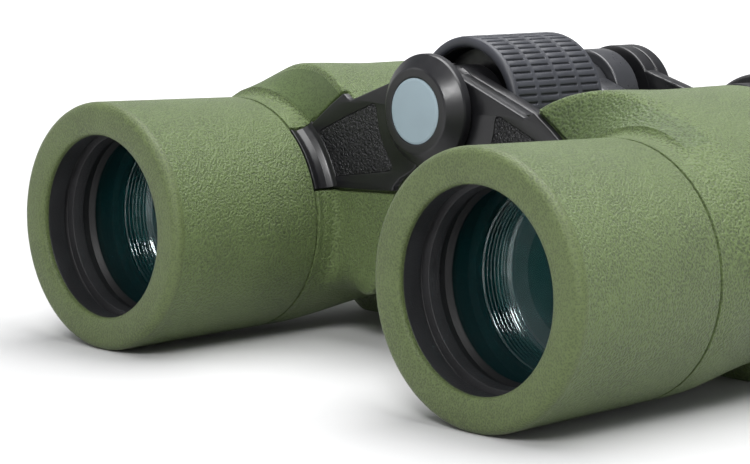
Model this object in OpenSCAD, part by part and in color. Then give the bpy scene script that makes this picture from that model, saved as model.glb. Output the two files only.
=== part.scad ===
// Centre-focus Porro-prism binoculars, in millimetres.
//
// Shapes are drawn in the optical frame: x = 0 is the hinge plane, y runs back from the front rims,
// and z = 0 is the height of the two objective axes. place() then moves them to the resting frame,
// where the origin is under the middle of the object and z = 0 is the table.
// The left half is at +X and the right half at -X, as the user sees them from the eyepieces.

/* [Overall] */
// Length from the front rims to the ends of the eyecups
total_len = 154; // [153:0.5:158]
// Distance between the two objective axes
objective_spacing = 127.6; // [127.4:0.1:128]
// Distance between the two eyepiece axes at rest
eyepiece_spacing = 68; // [67.6:0.1:68.4]
// Height of the eyepiece axes above the objective axes
eyepiece_rise = 18; // [17.6:0.1:18.2]
// Height of the hinge axis above the objective axes
hinge_rise = 30.5; // [30.4:0.1:31]

/* [Objectives] */
// Radius of a sleeve at its front rim, which is also its height above the table
sleeve_r = 30.4; // [30.4:0.1:31]
// Radius of a sleeve at the seam in front of the body
seam_r = 29.3; // [29.1:0.1:29.5]
// Distance from the front rim to the seam
seam_y = 46; // [45.8:0.1:46.2]
// Radius of the mouth inside the rim
mouth_r = 23.2; // [23:0.1:23.4]
// Radius of the ring that a lens cap seats in
cap_seat_r = 22.7; // [22.6:0.1:22.8]
// Radius of the objective lenses
lens_r = 23.2; // [23:0.1:23.2]

/* [Body] */
// Flat front wall of the housings
wall_y = 52.4; // [52.3:0.1:52.5]
// Back of the rubber armour
armor_back = 107; // [106.8:0.1:107.4]
// Thickness of the housing walls
case_wall = 1.6; // [1.2:0.1:1.8]

/* [Hinge] */
// Radius of the cap over the front of the hinge
cap_r = 13.5; // [13.2:0.1:14]
// Radius of the front hinge knuckles
knuckle_r = 10.3; // [10:0.1:10.4]
// Radius of the hinge axle
axle_r = 6; // [5.6:0.1:6.4]
// Wall radius of the tripod thread in the front of the axle
tripod_r = 3.175; // [3.175]

/* [Focus] */
// Radius of the focus wheel
wheel_r = 17.1; // [16.8:0.1:17.3]
// Front of the focus wheel
wheel_y = 61.9; // [61.8:0.1:62]
// Length of the focus wheel
wheel_len = 30.9; // [30.5:0.1:31]

/* [Eyepieces] */
// Outer radius of the eyecups
eyecup_r = 19.7; // [19:0.1:20]
// Radius of the ocular barrels where they slide
barrel_r = 10; // [9.8:0.1:10]

/* [Hidden] */

$fn = 64;

GREEN = "#6f7f52";
DARK_GREEN = "#5f7046";
BLACK = "#2a2b2e";
GRAPHITE = "#4a4c50";
STEEL = "#9da1a6";
GLASS = "#3f8f8a";

// Objective and eyepiece axes of the left half
objective_x = objective_spacing / 2;
eyepiece_x = eyepiece_spacing / 2;

// Running clearance, and the gap between pieces that only meet
run = 0.05;
gap = 0.3;

// Objective cell: radii of the fitted rings and places along y
tube_r = 24.8;
tube_y = 12.4;
tube_back = 51.9;
front_ring_y = 4.1;
lens_y = 16.5;
crown_edge = 2.1;
crown_front_radius = 95;
crown_back_radius = 75;
ring_seat = 15.95;
flint_y = lens_y + crown_edge + 0.2;
flint_edge = 3.7;
stop_y = flint_y + flint_edge + 0.1;
baffle_y = stop_y + 1.6;
baffle_back = 51;
baffle_threads = 6;
baffle_pitch = 1.2;
baffle_flange_y = 33;

// Housing: the case inside the armour
collar_r = 26.4;
case_y = 54.9;
case_back = 104;
cover_t = 2.4;
guide_back = 111.8;
armor_front = seam_y + 0.25;
armor_step_y = 54.7;
wall_rubber = 1.2;
collar_end = 49.6;
wall_fillet = 2.6;
rest_z = -sleeve_r;

// Centre of the polar grid that the armour is drawn on
core = [48, 4];
// Angle between two columns of the armour, and the turn that puts one on the top inner corner
grid_step = 6;
grid_turn = -1.4;

// Outline of the armour behind its front wall, left half, as x and z
body_outline = smooth([
    [94.2, 3], [92, 12.5], [87.2, 21.3], [79, 28.6], [70.6, 33.4], [62, 36.7], [55, 38.05],
    [47.5, 38.1], [41, 36.8], [36.4, 35], [33.4, 33.4], [32.2, 32.7], [31.2, 31.9], [25.5, 28], [20, 22.5],
    [16.5, 15], [15, 8], [16.6, -4], [19.5, -13], [24.5, -17.3], [34, -18.2], [46, -21.7],
    [58, -24.2], [70, -24], [82, -19.5], [90.5, -9.5]
], 4);

// Corners of the rigid case inside it
case_corners = [
    [91.2, 0], [89.4, 9.5], [84, 18.5], [75.5, 24.8], [64, 27.2], [56, 28.6], [49.5, 29.3],
    [45.5, 30.4], [41.2, 31.4], [37.8, 31.7], [33.8, 31.2], [26.8, 26.9], [21.8, 21.4],
    [18.4, 14.4], [17, 8], [18.4, -3.4], [21.2, -11.6], [25.6, -15.4], [34.4, -16.3], [46.4, -19.7],
    [58.2, -22.2], [69.4, -22], [80.4, -18], [88.2, -8.6]
];

// Where the front edge of the body outline lies along y, by angle around the core.
// It is the flat wall on the inner side, sweeps back over the outer shoulder and fades below.
ridge_table = [
    [-180, 52.4], [-138, 52.4], [-118, 62], [-95, 88], [-50, 88], [-25, 70], [0, 56], [12, 56.4],
    [22, 57.7], [31, 58.5], [39, 60], [49, 62], [57, 61.4], [68, 59.4], [76, 58.3], [82, 57.9],
    [90, 56.9], [98, 55.4], [106, 54.1], [112, 53.1], [118, 52.4], [180, 52.4]
];
// How much of a wall the step is, from 0, a slow blend, to 1, a wall with a fillet
wall_table = [[-180, 1], [-132, 1], [-108, 0], [-20, 0], [15, 0.3], [45, 0.6], [75, 1], [180, 1]];

// Front bridge of the left half: knuckle places, plate and arm
right_knuckle_y = 50.8;
knuckle_len = 6;
left_knuckle_y = 57;
left_knuckle_len = 9;
plate_y = 51.6;
plate_back = 53.4;
arm_back = 61.4;
inlay_depth = 0.5;

// Outline of the bridge plate outside the knuckle, left half, as x and z
plate_outline = [
    [4.2, 40.1], [29.6, 30.6], [30.6, 31.2], [32, 32.3], [37, 28.9], [45.3, 22.4], [43.4, 19.6],
    [41.4, 18], [38.8, 14], [36.6, 8.5], [14, 9.6], [13.8, 10.8], [11.4, 13], [6.2, 15.8],
    [4.2, 20.6]
];
// Arm between the knuckle and the housing, in front and behind the wheel alike
arm_outline = [
    [3.4, 40.2], [28.2, 31], [24.7, 28.5], [19.2, 23], [17, 18.6], [7, 22.4], [0, 25]
];
// Saddle of the bridge on the collar, as angles around the objective axis
saddle_from = 129.5;
saddle_to = 163;
saddle_depth = 1.55;

// Hinge and focus places along y
cap_y = 45;
cap_face_r = 10.3;
cap_band_y = 48.4;
cap_back = 50.6;
cap_wall = 1.7;
boss_r = 9.5;
disc_r = 7.95;
axle_back = 111.9;
spindle_r = 4.1;
spindle_y = 72;
rear_left_y = 93.4;
rear_left_len = 10.2;
rear_right_y = 103.9;
rear_right_len = 8;
rear_right_r = 12.4;
rear_arm = 8.5;
rear_arm_right = 106.4;
bridge_y = 115.2;
bridge_len = 4.2;
bridge_r = 13;
end_cap_y = 123.8;
bridge_end = 126.5;

// Eyepiece places along y
barrel_y = 97;
ring_back = 123.3;
arm_ring_r = 14.6;
neck_r = 14;
neck_y = 124.9;
// Travel of the right ocular each way, which the dioptre ring leaves room for
dioptre_travel = 1.1;
dioptre_r = 17.6;
head_r = 16.1;
head_y = 131.4;
head_back = 146.5;
cup_y = 131.8;
cup_lip = 3.4;
cup_opening_r = 12.5;

// Strap loop: inner and outer edge along x, and its place along y and z
lug_root = 82;
lug_tip = 94;
lug_slot = 4.4;
lug_y = 90.4;
lug_len = 14.4;
lug_z = 22.2;
lug_t = 3.2;

// Foot swelling under the back of the armour, as x, half width, and y from and to
foot_x = 55;
foot_half = 10;
foot_y = 91.5;
foot_back = 99.5;
foot_fade = 5;

// ---- Functions ----------------------------------------------------------------------------

// Points of an arc, from angle a to angle b
function arc(centre, r, a, b, n) =
    [for (i = [0:n]) centre + r * [cos(a + (b - a) * i / n), sin(a + (b - a) * i / n)]];

// Closed smooth curve through the points, n stretches between each two
function smooth(p, n) =
    let (m = len(p))
    [for (i = [0:m - 1], j = [0:n - 1])
        let (a = p[(i + m - 1) % m], b = p[i], c = p[(i + 1) % m], d = p[(i + 2) % m], t = j / n)
        (2 * b + (c - a) * t + (2 * a - 5 * b + 4 * c - d) * t * t
            + (3 * b - 3 * c + d - a) * t * t * t) / 2];

function cross2(a, b) = a[0] * b[1] - a[1] * b[0];

// Distance from the core to a closed outline, in direction u
function reach(u, p) =
    max([for (i = [0:len(p) - 1])
        let (a = p[i] - core, e = p[(i + 1) % len(p)] - p[i], k = cross2(u, e))
        abs(k) < 1e-9 ? 0 : let (s = cross2(a, u) / k) (s < 0 || s > 1) ? 0 : cross2(a, e) / k]);

// Distance from the core to a circle of radius r around the objective axis, in direction u
function reach_circle(u, r) =
    let (d = [objective_x, 0] - core, b = d * u)
    b + sqrt(r * r - d * d + b * b);

function ease(t) = let (c = min(1, max(0, t))) c * c * (3 - 2 * c);

// Signed angle of a direction, from -180 to 180
function turn(a) = a > 180 ? a - 360 : a;

// Front profile of the armour in direction u, as distance from the core and y
function front_profile(u, a) =
    let (
        r0 = reach_circle(u, seam_r),
        r1 = reach(u, body_outline),
        yr = lookup(a, ridge_table),
        w = lookup(a, wall_table),
        wall = concat(
            [for (k = [0:3]) [r0 + wall_fillet * (1 - cos(30 * k)),
                wall_y - wall_fillet * (1 - sin(30 * k))]],
            [for (k = [1:4]) [r0 + wall_fillet + (r1 - 1 - r0 - wall_fillet) * k / 4,
                wall_y + (yr - wall_y) * k / 4]],
            [[r1 - 0.3, yr + 0.35], [r1, yr + 1]]),
        blend = [for (k = [0:9]) [r0 + (r1 - r0) * ease(k / 9),
            collar_end + (yr + 1 - collar_end) * k / 9]]
    )
    [for (k = [0:9]) w * wall[k] + (1 - w) * blend[k]];

// Distance from the core to the rigid case, which stays behind the front wall of the armour
function case_reach(u, a) =
    min(reach(u, case_corners),
        lookup(case_y - wall_rubber, [for (p = front_profile(u, a)) [p[1], p[0]]]) - gap);

// Outline of the rigid case, with a corner on every column of the armour
case_outline = [for (i = [0:360 / grid_step - 1])
    let (a = i * grid_step + grid_turn, u = [cos(a), sin(a)]) core + case_reach(u, turn(a)) * u];

// Whether a point of the wall lies on the bed of the bridge plate
function on_bed(p) = p[0] < 48 && p[1] > 6.5 && p[1] < 29 + (46.5 - p[0]) * 0.9 && p[1] < 38;

// Bed of the bridge cut into a point of the front profile: p is its place as x and z
function bedded(p, y) =
    let (
        q = p - [objective_x, 0],
        a = atan2(q[1], q[0]),
        in_saddle = a > saddle_from - 7 && a < saddle_to + 7 && norm(q) < seam_r + wall_fillet,
        s = min(norm(q), collar_r + gap + 0.6)
    )
    in_saddle && y < wall_y ? concat([objective_x, 0] + s * q / norm(q), y + 1.2) :
    y < wall_y + 0.4 && on_bed(p) ? concat(p, wall_y + 1.25) : concat(p, y);

// The foot pulls the underside down to the table
function footed(p) =
    let (
        fx = ease((foot_half + 2 * foot_fade - abs(p[0] - foot_x)) / (2 * foot_fade)),
        fy = ease(min(p[2] - foot_y + foot_fade, foot_back + foot_fade - p[2]) / foot_fade),
        low = p[1] < 0 ? fx * fy : 0
    )
    [p[0], p[1] + (rest_z - p[1]) * low, p[2]];

// One column of the armour: x, z and y of each ring, outside from the front to the back,
// then inside from the back to the front
function column(a) =
    let (
        u = [cos(a), sin(a)],
        front = front_profile(u, turn(a)),
        last = front[9],
        inner = case_reach(u, turn(a)) + gap,
        collar = reach_circle(u, collar_r + 0.2),
        r1 = last[0],
        rear = armor_back - 5,
        outside = concat(
            [[reach_circle(u, seam_r), armor_front]],
            front,
            [for (t = [1:3]) [r1, last[1] + (88.5 - last[1]) * t / 3 + (last[1] > 88 ? t * 0.3 : 0)]],
            [for (y = [91.5, 95.5, 99.5, rear]) [r1, y]],
            [for (k = [1:3]) [r1 - 4 * (1 - cos(30 * k)), rear + 5 * sin(30 * k)]]),
        inside = [[inner, armor_back], [inner, armor_step_y], [collar, armor_step_y],
            [collar, armor_front]]
    )
    concat(
        [for (k = [0:len(outside) - 1])
            let (p = core + outside[k][0] * u)
            k < 11 ? bedded(p, outside[k][1]) : footed(concat(p, outside[k][1]))],
        [for (v = inside) concat(core + v[0] * u, v[1])]);

// ---- Shared modules -----------------------------------------------------------------------

// Optical frame to resting frame
module place() {
    translate([0, -total_len / 2, sleeve_r])
        children();
}

// Draws the left half's piece on the side that is asked for
module side(s) {
    place()
        mirror([s < 0 ? 1 : 0, 0, 0])
            children();
}

// Turns an axis that is drawn along z to run back along y, through x and z
module along(x, z) {
    translate([x, 0, z])
        rotate([-90, 0, 0])
            children();
}

// Body of revolution from a list of radius and y
module lathe(x, z, profile) {
    along(x, z)
        rotate_extrude()
            polygon(profile);
}

module rod(x, z, r, y0, y1) {
    along(x, z)
        translate([0, 0, y0])
            cylinder(h = y1 - y0, r = r);
}

module tube(x, z, r, bore, y0, y1) {
    difference() {
        rod(x, z, r, y0, y1);
        rod(x, z, bore, y0 - 1, y1 + 1);
    }
}

// Plate with an outline in x and z, from y0 back to y1
module slab(outline, y0, y1) {
    translate([0, y1, 0])
        rotate([90, 0, 0])
            linear_extrude(y1 - y0)
                polygon(outline);
}

// An outline moved in towards the core by d
function inset(p, d) = [for (q = p) core + (q - core) * (1 - d / norm(q - core))];

// ---- Objective ----------------------------------------------------------------------------

module objective_sleeve() {
    color(GREEN)
        lathe(objective_x, 0, concat(
            arc([26.4, 3.2], 3.2, 180, 270, 6),
            arc([sleeve_r - 2.8, 2.8], 2.8, 270, 360, 6),
            [[seam_r, seam_y - 0.5], [seam_r - 0.5, seam_y], [25, seam_y], [25, 4],
                [mouth_r, 4]]));
}

module objective_tube() {
    color(BLACK)
        lathe(objective_x, 0, [
            [tube_r, tube_y], [tube_r, tube_back], [23.3, tube_back], [23.3, stop_y + 1.4],
            [20.8, stop_y + 1.4], [20.8, stop_y], [23.3, stop_y], [23.3, tube_y]]);
}

module front_ring() {
    color(BLACK)
        lathe(objective_x, 0, [
            [24.9, front_ring_y], [24.9, 12.2], [21.6, 12.2], [22, 9.4], [23.4, 9.4],
            [23.4, 7.8], [cap_seat_r, 7.8], [cap_seat_r, front_ring_y]]);
}

module retaining_ring() {
    color(BLACK)
        lathe(objective_x, 0, [
            [23.2, 12.6], [23.2, ring_seat], [21.4, ring_seat], [22.3, ring_seat - 1.2],
            [22.3, 12.6]]);
}

// Depth of a sphere of radius big at distance r from its axis
function sag(big, r) = big - sqrt(big * big - r * r);

module crown_lens() {
    color(GLASS)
        lathe(objective_x, 0, concat(
            [for (i = [0:8]) let (r = lens_r * i / 8)
                [r, lens_y - sag(crown_front_radius, lens_r) + sag(crown_front_radius, r)]],
            [for (i = [8:-1:0]) let (r = lens_r * i / 8)
                [r, lens_y + crown_edge + sag(crown_back_radius, lens_r)
                    - sag(crown_back_radius, r)]]));
}

module flint_lens() {
    color(GLASS)
        lathe(objective_x, 0, concat(
            [for (i = [0:8]) let (r = lens_r * i / 8)
                [r, flint_y + sag(crown_back_radius, lens_r) - sag(crown_back_radius, r)]],
            [[lens_r, flint_y + flint_edge], [0, flint_y + flint_edge + 0.6]]));
}

module baffle_tube() {
    thread_y = baffle_y + 0.6;
    color(BLACK)
        lathe(objective_x, 0, concat(
            [[23.2, baffle_y], [23.2, baffle_back], [19, baffle_back], [15, baffle_flange_y + 1.4],
                [15, baffle_flange_y], [19.6, baffle_flange_y]],
            [for (i = [baffle_threads - 1:-1:0], e = [1, 0])
                [e == 1 ? 20.5 : 19.7, thread_y + baffle_pitch * (i + 0.5 * e)]],
            [[20.5, baffle_y]]));
}

// ---- Body ---------------------------------------------------------------------------------

// Places of the cover screws, as x and z
screw_places = [[44.5, 27.3], [85.6, 9.5], [25.7, -11.3]];

module prism_housing() {
    color(BLACK)
        difference() {
            union() {
                difference() {
                    union() {
                        rod(objective_x, 0, collar_r, armor_front + 0.4, armor_step_y - 0.2);
                        rod(objective_x, 0, 21.5, 54, case_y + 2);
                        slab(case_outline, case_y, case_back);
                    }
                    slab(inset(case_outline, case_wall), case_y + 2, case_back + 1);
                }
                for (p = screw_places)
                    rod(p[0], p[1], 2.3, case_back - 9, case_back);
            }
            rod(objective_x, 0, tube_r + run, 40, tube_back + 0.1);
            rod(objective_x, 0, 17.5, 50, case_y + 3);
            rod(eyepiece_x, eyepiece_rise, barrel_r + gap, 90, case_back + 1);
            for (p = screw_places)
                rod(p[0], p[1], 1, case_back - 7, case_back + 1);
        }
}

module armor() {
    columns = [for (i = [0:360 / grid_step - 1]) column(i * grid_step + grid_turn)];
    n = len(columns);
    rings = len(columns[0]);
    points = [for (c = columns, p = c) [p[0], p[2], p[1]]];
    color(DARK_GREEN)
        polyhedron(
            points,
            [for (i = [0:n - 1], k = [0:rings - 1], h = [0, 1])
                let (
                    j = (i + 1) % n,
                    l = (k + 1) % rings,
                    a = i * rings + k,
                    b = j * rings + k,
                    c = j * rings + l,
                    d = i * rings + l
                )
                h == 0 ? [a, b, c] : [a, c, d]],
            convexity = 10);
}

// Right-angle prism with its long face at y and its edge cut off, pointing along dir
module prism_block(x0, x1, z0, z1, y, dir, across) {
    half = across == "x" ? (x1 - x0) / 2 : (z1 - z0) / 2;
    mid = across == "x" ? (x0 + x1) / 2 : (z0 + z1) / 2;
    tip = 2;
    shape = [[mid - half, y], [mid + half, y], [mid + tip, y + dir * (half - tip)],
        [mid - tip, y + dir * (half - tip)]];
    if (across == "x")
        translate([0, 0, z0])
            linear_extrude(z1 - z0)
                polygon(shape);
    else
        translate([x0, 0, 0])
            rotate([0, -90, 0])
                mirror([0, 0, 1])
                    linear_extrude(x1 - x0)
                        polygon([for (p = shape) [p[0], p[1]]]);
}

shelf_y = 77.2;
shelf_t = 1.6;

module rear_prism() {
    color(GLASS)
        prism_block(25.5, 72.5, -8.5, 8.5, shelf_y + shelf_t + 0.1, 1, "x");
}

module front_prism() {
    color(GLASS)
        prism_block(28, 41, -7, 24, shelf_y - 0.1, -1, "z");
}

module prism_shelf() {
    color(GRAPHITE)
        difference() {
            slab(inset(case_outline, case_wall + gap), shelf_y, shelf_y + shelf_t);
            rod(objective_x, 0, 8, 70, 90);
            rod(eyepiece_x, 0, 6, 70, 90);
            rod(eyepiece_x, eyepiece_rise, 6, 70, 90);
        }
}

module prism_clips() {
    color(STEEL) {
        translate([47, shelf_y + shelf_t + 0.1, 0])
            difference() {
                translate([0, 0, -9.2])
                    cube([4, 22.4, 18.4]);
                translate([-1, -1, -8.6])
                    cube([6, 22.7, 17.2]);
            }
        translate([0, 0, 6.5])
            difference() {
                translate([27.3, shelf_y - 14.5, 0])
                    cube([14.4, 14.4, 4]);
                translate([27.9, shelf_y - 13.7, -1])
                    cube([13.2, 15, 6]);
            }
    }
}

module rear_cover() {
    color(BLACK)
        difference() {
            union() {
                slab(case_outline, case_back + 0.1, case_back + cover_t);
                rod(eyepiece_x, eyepiece_rise, 11, case_back + 1, guide_back);
            }
            rod(eyepiece_x, eyepiece_rise, barrel_r + run, case_back - 1, guide_back + 1);
            for (p = screw_places)
                rod(p[0], p[1], 1.1, case_back - 1, case_back + cover_t + 1);
        }
}

module cover_screws() {
    color(STEEL)
        for (p = screw_places)
            difference() {
                union() {
                    rod(p[0], p[1], 0.95, case_back - 5, case_back + cover_t + 0.4);
                    rod(p[0], p[1], 1.9, case_back + cover_t + 0.05, case_back + cover_t + 1.2);
                }
                translate([p[0] - 0.3, case_back + cover_t + 0.8, p[1] - 1.2])
                    cube([0.6, 1, 2.4]);
            }
}

// Loop on the outer shoulder that the neck strap goes through
module strap_lug() {
    color(BLACK)
        difference() {
            translate([lug_root, lug_y, lug_z])
                cube([lug_tip - lug_root, lug_len, lug_t]);
            slab(body_outline, lug_y - 1, lug_y + lug_len + 1);
            translate([lug_tip - 1.7 - lug_slot, lug_y + 1.9, lug_z - 1])
                cube([lug_slot, lug_len - 3.8, lug_t + 2]);
        }
}

// ---- Hinge --------------------------------------------------------------------------------

// The bridge is one casting: plate, saddle on the collar, arm and knuckle.
// The knuckle of the left half lies behind that of the right half.
module bridge(knuckle_from, knuckle_to, other_from, other_to) {
    hz = hinge_rise;
    color(BLACK)
        difference() {
            union() {
                difference() {
                    union() {
                        slab(plate_outline, plate_y, plate_back);
                        slab(arm_outline, plate_back - 0.5, arm_back);
                    }
                    rod(0, hz, knuckle_r + gap, other_from - gap, other_to + gap);
                    rod(0, hz, axle_r + 1, 40, 70);
                    rod(objective_x, 0, seam_r, 40, 60);
                }
                rod(0, hz, knuckle_r, knuckle_from, knuckle_to);
                saddle();
            }
            rod(0, hz, axle_r + run, 40, 70);
            inlay_shape(plate_y - 1, plate_y + inlay_depth);
        }
}

// Strip of the bridge that lies on the collar behind the sleeve
module saddle() {
    away = 60;
    intersection() {
        tube(objective_x, 0, seam_r + 0.05, seam_r - saddle_depth, armor_front, plate_back);
        slab([[objective_x, 0],
            [objective_x + away * cos(saddle_from), away * sin(saddle_from)],
            [objective_x + away * cos(saddle_to), away * sin(saddle_to)]], 40, 60);
    }
}

// Grained panel in the plate: its inner edge is an arc around the hinge
module inlay_shape(y0, y1) {
    slab(concat(
        [[37.1, 11.4], [37.9, 12.4], [41, 20.2], [40.7, 21.7], [39.8, 22.6], [31, 26.6],
            [21.6, 30.4], [20.4, 30.4]],
        arc([0, hinge_rise], 20, -4, -42, 6),
        [[14.3, 16], [14.7, 14.8], [16, 14.3], [36, 11.2]]), y0, y1);
}

module bridge_inlay() {
    color(BLACK)
        inlay_shape(plate_y + 0.1, plate_y + inlay_depth);
}

module rear_lug(from, to, r, arm_to, other_from, other_to, other_r) {
    hz = hinge_rise;
    color(GRAPHITE)
        difference() {
            union() {
                difference() {
                    slab(arm_outline, arm_to - rear_arm, arm_to);
                    rod(0, hz, other_r + gap, other_from - gap, other_to + gap);
                }
                rod(0, hz, r, from, to);
            }
            rod(0, hz, axle_r + run, 80, 120);
        }
}

module hinge_axle() {
    color(STEEL)
        place()
            difference() {
                union() {
                    rod(0, hinge_rise, boss_r, cap_y + cap_wall + 0.2, right_knuckle_y - 0.1);
                    rod(0, hinge_rise, axle_r, right_knuckle_y - 0.2, axle_back);
                }
                rod(0, hinge_rise, tripod_r, 40, 57);
                rod(0, hinge_rise, spindle_r + run, spindle_y - 6, axle_back + 1);
            }
}

module hinge_cap() {
    color(BLACK)
        place()
            lathe(0, hinge_rise, [
                [0, cap_y + 0.35], [disc_r + 0.05, cap_y + 0.35], [disc_r + 0.05, cap_y],
                [cap_face_r - 0.4, cap_y], [cap_face_r, cap_y + 0.25],
                [cap_r - 0.2, cap_band_y - 0.2], [cap_r, cap_band_y + 0.2], [cap_r, cap_back],
                [boss_r + 0.1, cap_back], [boss_r + 0.1, cap_y + cap_wall],
                [0, cap_y + cap_wall]]);
}

module cap_disc() {
    color("#9db1b9")
        place()
            rod(0, hinge_rise, disc_r, cap_y - 0.15, cap_y + 0.3);
}

// ---- Focus --------------------------------------------------------------------------------

module wheel_core() {
    back = wheel_y + wheel_len;
    color(BLACK)
        place()
            lathe(0, hinge_rise, [
                [axle_r + run, 68.2], [14.3, 68.2], [14.3, wheel_y + 0.8], [14.8, wheel_y],
                [15.4, wheel_y], [15.4, back], [14, back], [14, 74], [8.4, 74], [8.4, back - 0.6],
                [axle_r + run, back - 0.6]]);
}

module wheel_grip() {
    back = wheel_y + wheel_len;
    color(GRAPHITE)
        place()
            lathe(0, hinge_rise, [
                [15.5, wheel_y + 0.1], [wheel_r - 0.9, wheel_y + 0.3], [wheel_r, wheel_y + 1.4],
                [wheel_r, back - 0.5], [wheel_r - 0.4, back - 0.1], [15.5, back - 0.1]]);
}

module focus_spindle() {
    color(STEEL)
        place()
            rod(0, hinge_rise, spindle_r, spindle_y, end_cap_y + 1.2);
}

module bridge_end_cap() {
    color(GRAPHITE)
        place()
            lathe(0, hinge_rise, [
                [spindle_r + run, end_cap_y], [10.6, end_cap_y], [11, end_cap_y + 0.5],
                [10.6, end_cap_y + 1.6], [8.6, bridge_end - 0.3], [6, bridge_end],
                [0, bridge_end], [0, end_cap_y + 1.3], [spindle_r + run, end_cap_y + 1.3]]);
}

// ---- Eyepieces ----------------------------------------------------------------------------

// Arm from the spindle to the ring around an ocular barrel
module eyepiece_arm(hub_from, hub_to) {
    drop = eyepiece_rise - hinge_rise;
    far = norm([eyepiece_x, drop]);
    u = [eyepiece_x, drop] / far;
    link = [for (p = [[6.5, -10.5], [far - 3, -12.5], [far - 3, 12.5], [6.5, 10.5]])
        [p[0] * u[0] - p[1] * u[1], hinge_rise + p[0] * u[1] + p[1] * u[0]]];
    color(BLACK)
        difference() {
            union() {
                rod(0, hinge_rise, bridge_r, hub_from, hub_to);
                slab(link, hub_from + 0.3, hub_to - 0.3);
                rod(eyepiece_x, eyepiece_rise, arm_ring_r, bridge_y - 0.3, ring_back);
            }
            rod(0, hinge_rise, spindle_r + run, 110, 130);
            rod(eyepiece_x, eyepiece_rise, barrel_r + run, 110, 130);
        }
}

// The left barrel has a fixed grip collar where the right one carries the dioptre ring
module ocular_barrel(collar) {
    grip = collar ? dioptre_r : neck_r;
    front = collar ? ring_back + gap : neck_y;
    color(BLACK)
        lathe(eyepiece_x, eyepiece_rise, [
            [barrel_r, barrel_y], [barrel_r, front], [grip, front], [grip, head_y],
            [head_r, head_y], [head_r, head_back], [11.1, head_back], [11.1, 141], [9, 139],
            [8, 137], [8, 104.6], [9, 104.6], [9, barrel_y]]);
}

module field_lens() {
    color(GLASS)
        lathe(eyepiece_x, eyepiece_rise, concat(
            [for (i = [0:4]) let (r = 8.9 * i / 4) [r, 99.2 - sag(30, 8.9) + sag(30, r)]],
            [for (i = [4:-1:0]) let (r = 8.9 * i / 4) [r, 102 + sag(40, 8.9) - sag(40, r)]]));
}

module eye_lens() {
    color(GLASS)
        lathe(eyepiece_x, eyepiece_rise, concat(
            [[0, 141.4], [10.9, 141.4]],
            [for (i = [4:-1:0]) let (r = 10.9 * i / 4) [r, 143.2 + sag(32, 10.9) - sag(32, r)]]));
}

module eyecup() {
    inner = head_r + run;
    color(BLACK)
        lathe(eyepiece_x, eyepiece_rise, concat(
            [[inner, cup_y], [eyecup_r - 0.8, cup_y], [eyecup_r, cup_y + 0.8],
                [eyecup_r, total_len - 3]],
            arc([eyecup_r - 3, total_len - 3], 3, 15, 75, 4),
            [[eyecup_r - 3.4, total_len], [14, total_len], [cup_opening_r, total_len - 1.2],
                [cup_opening_r, total_len - cup_lip], [inner, total_len - cup_lip]]));
}

module dioptre_ring() {
    color(BLACK)
        side(-1)
            tube(eyepiece_x, eyepiece_rise, dioptre_r, neck_r + run,
                ring_back + gap, head_y - dioptre_travel - 0.2);
}

// ---- Nodes --------------------------------------------------------------------------------

left_knuckle = [left_knuckle_y, left_knuckle_y + left_knuckle_len];
right_knuckle = [right_knuckle_y, right_knuckle_y + knuckle_len];
rear_left = [rear_left_y, rear_left_y + rear_left_len];
rear_right = [rear_right_y, rear_right_y + rear_right_len];
bridge_left = [bridge_y, bridge_y + bridge_len];
bridge_right = [bridge_y + bridge_len + 0.2, end_cap_y - 0.2];

side(1) objective_sleeve();  // left_objective_sleeve
side(1) objective_tube();  // left_objective_tube
side(1) front_ring();  // left_front_ring
side(1) retaining_ring();  // left_retaining_ring
side(1) crown_lens();  // left_crown_lens
side(1) flint_lens();  // left_flint_lens
side(1) baffle_tube();  // left_baffle_tube
side(1) prism_housing();  // left_prism_housing
side(1) armor();  // left_armor
side(1) front_prism();  // left_front_prism
side(1) rear_prism();  // left_rear_prism
side(1) prism_shelf();  // left_prism_shelf
side(1) prism_clips();  // left_prism_clips
side(1) rear_cover();  // left_rear_cover
side(1) cover_screws();  // left_cover_screws
side(1) strap_lug();  // left_strap_lug
side(1) bridge(left_knuckle[0], left_knuckle[1], right_knuckle[0], right_knuckle[1]);  // left_bridge
side(1) bridge_inlay();  // left_bridge_inlay
side(1) rear_lug(rear_left[0], rear_left[1], knuckle_r, rear_left[1], rear_right[0], 120,  // left_rear_lug
        rear_right_r);
side(-1) objective_sleeve();  // right_objective_sleeve
side(-1) objective_tube();  // right_objective_tube
side(-1) front_ring();  // right_front_ring
side(-1) retaining_ring();  // right_retaining_ring
side(-1) crown_lens();  // right_crown_lens
side(-1) flint_lens();  // right_flint_lens
side(-1) baffle_tube();  // right_baffle_tube
side(-1) prism_housing();  // right_prism_housing
side(-1) armor();  // right_armor
side(-1) front_prism();  // right_front_prism
side(-1) rear_prism();  // right_rear_prism
side(-1) prism_shelf();  // right_prism_shelf
side(-1) prism_clips();  // right_prism_clips
side(-1) rear_cover();  // right_rear_cover
side(-1) cover_screws();  // right_cover_screws
side(-1) strap_lug();  // right_strap_lug
side(-1) bridge(right_knuckle[0], right_knuckle[1], left_knuckle[0], left_knuckle[1]);  // right_bridge
side(-1) bridge_inlay();  // right_bridge_inlay
side(-1) rear_lug(rear_right[0], rear_right[1], rear_right_r, rear_arm_right, 80, rear_left[1],  // right_rear_lug
        knuckle_r);
hinge_axle();
hinge_cap();
cap_disc();
wheel_core();
wheel_grip();
focus_spindle();
bridge_end_cap();
side(1) eyepiece_arm(bridge_left[0], bridge_left[1]);  // left_eyepiece_arm
side(1) ocular_barrel(true);  // left_ocular_barrel
side(1) field_lens();  // left_field_lens
side(1) eye_lens();  // left_eye_lens
side(1) eyecup();  // left_eyecup
side(-1) eyepiece_arm(bridge_right[0], bridge_right[1]);  // right_eyepiece_arm
side(-1) ocular_barrel(false);  // right_ocular_barrel
side(-1) field_lens();  // right_field_lens
side(-1) eye_lens();  // right_eye_lens
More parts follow.
